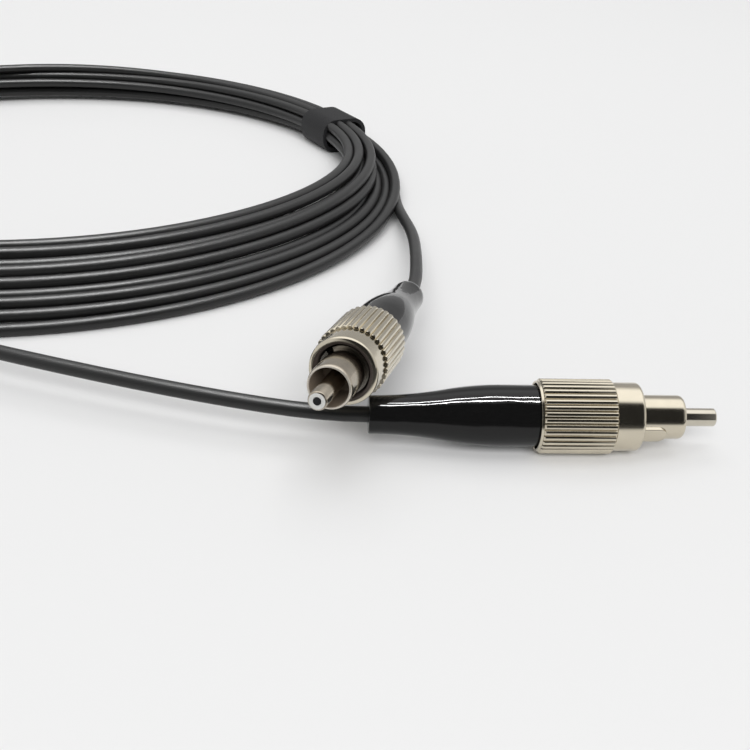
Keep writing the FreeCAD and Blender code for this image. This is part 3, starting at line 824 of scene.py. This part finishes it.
def boot(side):
    stations = [
        (0.0, BOOT_HOLE_R + 0.10), (0.0, BOOT_REAR_R - 0.22), (0.02, BOOT_REAR_R - 0.12),
        (0.08, BOOT_REAR_R - 0.04), (BOOT_LIP, s_curve(BOOT_LIP)),
    ]
    for k in range(1, BOOT_STEPS + 1):
        along = BOOT_LIP + BOOT_STEP * k
        stations.append((along, s_curve(along)))
    stations += [
        (BOOT_FRONT - BOOT_EDGE, BOOT_SWELL[1]), (BOOT_FRONT, BOOT_SWELL[1] - BOOT_EDGE),
        (BOOT_FRONT, BOOT_STEM[1]),
        (BOOT_STEM[0], BOOT_STEM[1]), (BOOT_STEM[0], BOOT_CRIMP[1]), (BOOT_CRIMP[0], BOOT_CRIMP[1]),
        (BOOT_CRIMP[0], BOOT_HOLE_R), (0.12, BOOT_HOLE_R),
    ]
    return as_piece(
        f"boot_cover_{side}", lathe(stations), plug_place[side], "cord", boot_finish[side], "boot_plastic",
        f"boot_{side}")


for side in "ab":
    print("boot", side, len(boot(side).data.polygons), "faces")

# %% [markdown]
# ## The strap
#
# A short woven hook-and-loop strap holds the coil together behind plug b. Its section is a rounded
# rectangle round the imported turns: a flat loop of edges is bevelled at its corners, extruded across the
# strap's width and given its thickness.

# %% Strap finish
weave = Finish("strap_weave", Sheen_Weight=0.04, Sheen_Roughness=0.5, Specular_IOR_Level=0.3)
turned_spot = weave.node("ShaderNodeMapping", {"vector_type": "POINT"}, {
    "Vector": weave.place(), "Rotation": (0, 0, math.radians(-TIE_ANGLE))})
ribs = weave.node("ShaderNodeTexWave", {"bands_direction": "Y"}, {"Vector": turned_spot, "Scale": 0.55})
picks = weave.node(
    "ShaderNodeTexWave", {"bands_direction": "DIAGONAL"}, {"Vector": turned_spot, "Scale": 0.7})
fuzz = weave.noise(weave.place(), 3.0, 4.0)
cloth_height = ribs * 0.5 + picks * 0.3 + fuzz * 0.5
weave.set(Base_Color=weave.blend(fuzz, (0.008, 0.008, 0.009), (0.024, 0.024, 0.025)))
weave.set(Roughness=0.62 + fuzz * 0.25)
weave.bump(cloth_height, 0.5, 0.08 * MM)

# %% Strap
TIE_WIDTH = 12.0
TIE_WALL = 0.9
TIE_SECTION = (67.6, 79.4, 8.1)
TIE_CORNER = 3.5

strap_solid = bmesh.new()
inner, outer, top = TIE_SECTION
corners = [
    strap_solid.verts.new((reach, -TIE_WIDTH / 2, height))
    for reach, height in ((inner, 0.0), (outer, 0.0), (outer, top), (inner, top))
]
for first, second in zip(corners, corners[1:] + corners[:1]):
    strap_solid.edges.new((first, second))
bmesh.ops.bevel(
    strap_solid, geom=corners, offset=TIE_CORNER, segments=8, profile=0.5, affect="VERTICES", material=-1)
grown = bmesh.ops.extrude_edge_only(strap_solid, edges=list(strap_solid.edges))["geom"]
far_side = [item for item in grown if isinstance(item, bmesh.types.BMVert)]
bmesh.ops.translate(strap_solid, verts=far_side, vec=(0, TIE_WIDTH, 0))
bmesh.ops.recalc_face_normals(strap_solid, faces=strap_solid.faces)
bmesh.ops.solidify(strap_solid, geom=list(strap_solid.faces), thickness=TIE_WALL)
strap_place = Matrix.Translation((COIL_CENTRE.x, COIL_CENTRE.y, 0)) @ Matrix.Rotation(
    math.radians(TIE_ANGLE), 4, "Z")
strap = as_piece("strap", strap_solid, strap_place, "cord", weave, "strap", "coil_tie")
print("strap", len(strap.data.polygons), "faces")

# %% [markdown]
# ## Pieces inside the plugs
#
# The rear body, the crimp sleeve, the end of the jacket and the fibre keep their CAD shapes, because they
# are hidden or show only a small face. They still get real finishes.

# %% Inner finishes
def clear_fibre(name, side):
    finish = Finish(name, IOR=1.49, Coat_Weight=0.6, Coat_Roughness=0.05)
    dust = finish.noise(finish.place(about=plug_place[side]), 2.2, 4.0)
    finish.set(Base_Color=finish.blend(dust, (0.006, 0.006, 0.007), (0.022, 0.023, 0.024)))
    finish.set(Roughness=0.10 + dust * 0.12)
    return finish


SLEEVE = ((0.56, 0.56, 0.56), (0.66, 0.66, 0.66))
sleeve = {side: plated(f"sleeve_{side}", side, SLEEVE, 0.34, 0.2, 0.2) for side in "ab"}
core = {side: clear_fibre(f"fibre_{side}", side) for side in "ab"}
for side in "ab":
    turned[side].on(frame["nodes"][f"rear_body_{side}"])
    sleeve[side].on(frame["nodes"][f"crimp_sleeve_{side}"])
    jacket.on(frame["nodes"][f"cable_end_{side}"])
    core[side].on(frame["nodes"][f"fibre_end_{side}"])

# %% [markdown]
# ## Floor and light
#
# The cord lies on a plain pale table in a studio. Shiny things need something to mirror, so the room has a
# wide bright ceiling, a grey far wall, pale side walls and a dark side where the camera stands, and the front
# of the table is dark too. The plated metal shows all of them: a white top, a nearly black band that faces
# the camera and a warm strip below it, where it sees the table beside it. Only mirror rays meet that room:
# the other rays find an even light, and the camera sees an even table that fades into the backdrop.
#
# Three soft lamps light the table and make its shadows, and are hidden from reflections. Two narrow strip
# lamps do the opposite: they add no light to the table, and draw the thin lines along the boots and the
# cable, the only pieces that they shine on.

# %% Floor
TABLE_TONE = (0.83, 0.83, 0.83)
# The back of the table is painted paler: painted light that makes up for the lamps' falloff.
TABLE_FAR_PAINTED_LIGHT = (0.95, 0.95, 0.95)
TABLE_DARK = (0.044, 0.044, 0.044)
BACKDROP = (0.84, 0.84, 0.84)
BLACK = (0.0, 0.0, 0.0)
TABLE_HALF = 3.0
DARK_FROM_MM = (30, 48)
PALEST_AT_MM = 400
FADES_MM = (450, 800)

table_mesh = bmesh.new()
bmesh.ops.create_grid(table_mesh, x_segments=1, y_segments=1, size=TABLE_HALF)
table_data = bpy.data.meshes.new("table")
table_mesh.to_mesh(table_data)
table_mesh.free()
table = bpy.data.objects.new("table", table_data)
bpy.context.scene.collection.objects.link(table)
tabletop = Finish("table_paint", Roughness=0.6, Specular_IOR_Level=0.1)
depth = tabletop.node("ShaderNodeSeparateXYZ", inputs={0: tabletop.place()}, output="Y")
in_front = tabletop.ramp(depth * (-1 / 100), (DARK_FROM_MM[0] / 100, 0.0), (DARK_FROM_MM[1] / 100, 1.0))
mirrored = tabletop.node("ShaderNodeLightPath", output="Is Glossy Ray")
dark = in_front * mirrored
# Painted light: the table's paint grows paler towards the back.
far_painted_light = tabletop.ramp(depth * (1 / PALEST_AT_MM), (0.0, 0.0), (1.0, 1.0))
paint = tabletop.blend(far_painted_light, TABLE_TONE, TABLE_FAR_PAINTED_LIGHT)
outward = tabletop.node(
    "ShaderNodeVectorMath", {"operation": "LENGTH"}, {0: tabletop.place()}, output="Value")
beyond = tabletop.ramp(outward * MM, (FADES_MM[0] * MM, 0.0), (FADES_MM[1] * MM, 1.0))
tabletop.set(Base_Color=tabletop.blend(beyond, tabletop.blend(dark, paint, TABLE_DARK), BLACK))
tabletop.set(Emission_Color=tabletop.blend(beyond * (1.0 - dark), BLACK, BACKDROP), Emission_Strength=1.0)
tabletop.material.cycles.emission_sampling = "NONE"
tabletop.on(table)

# %% World and lamps
CEILING = 1.45
FAR_WALL = 0.48
SIDE_WALLS = 0.75
CAMERA_SIDE = 0.025
EVEN_LIGHT = (0.30, 0.30, 0.30)

world = bpy.data.worlds.new("studio")
bpy.context.scene.world = world
world.use_nodes = True
room = Wiring(world.node_tree)
sight = room.node("ShaderNodeTexCoord", output="Generated")
look = {axis: room.node("ShaderNodeSeparateXYZ", inputs={0: sight}, output=axis) for axis in "XYZ"}
lean = room.node("ShaderNodeMath", {"operation": "ARCTAN2"}, {0: look["Y"] * -1.0, 1: look["Z"]})
tone = room.ramp(
    lean * (0.5 / math.pi) + 0.5, (0.34, FAR_WALL), (0.39, CEILING), (0.52, CEILING), (0.545, CAMERA_SIDE))
to_left = room.ramp(look["X"] * -1.0, (0.42, 0.0), (0.70, 1.0))
to_right = room.ramp(look["X"], (0.55, 0.0), (0.92, 1.0))
walls = room.blend(to_left + to_right, tone, (SIDE_WALLS, SIDE_WALLS, SIDE_WALLS))
in_mirror = room.node("ShaderNodeLightPath", output="Is Glossy Ray")
in_view = room.node("ShaderNodeLightPath", output="Is Camera Ray")
room_light = room.blend(in_view, room.blend(in_mirror, EVEN_LIGHT, walls), BACKDROP)
room.feed(world.node_tree.nodes["Background"].inputs["Color"], room_light)
bpy.context.scene.view_settings.view_transform = "Standard"


def lamp(name, at, towards, size, power):
    """A soft rectangular lamp in metres, aimed at a point."""
    light = bpy.data.lights.new(name, "AREA")
    light.shape = "RECTANGLE"
    light.size = size[0]
    light.size_y = size[1]
    light.energy = power
    thing = bpy.data.objects.new(name, light)
    aim = Vector(towards) - Vector(at)
    thing.matrix_world = Matrix.Translation(at) @ aim.to_track_quat("-Z", "Y").to_matrix().to_4x4()
    bpy.context.scene.collection.objects.link(thing)
    return thing


table_lamps = [
    lamp("top_lamp", (0.0, -0.12, 0.9), (0, 0, 0), (0.6, 0.5), 1.7),
    lamp("back_lamp", (-0.1, 0.5, 0.9), (-0.1, 0.35, 0), (0.9, 0.5), 1.4),
    lamp("front_lamp", (0.0, -2.0, 1.7), (0, 0.1, 0), (2.4, 1.2), 58.0),
]
for thing in table_lamps:
    thing.visible_glossy = False
strips = [
    lamp("strip", (-0.03, -0.062, 0.6), (-0.03, -0.01, 0), (0.45, 0.02), 5.0),
    lamp("second_strip", (-0.03, 0.085, 0.6), (-0.03, -0.01, 0), (0.45, 0.014), 3.4),
]
strip_lit = bpy.data.collections.new("strip_lit")
for name in ("boot_cover_a", "boot_cover_b", "cable"):
    strip_lit.objects.link(bpy.data.objects[name])
for thing in strips:
    thing.visible_diffuse = False
    thing.light_linking.receiver_collection = strip_lit
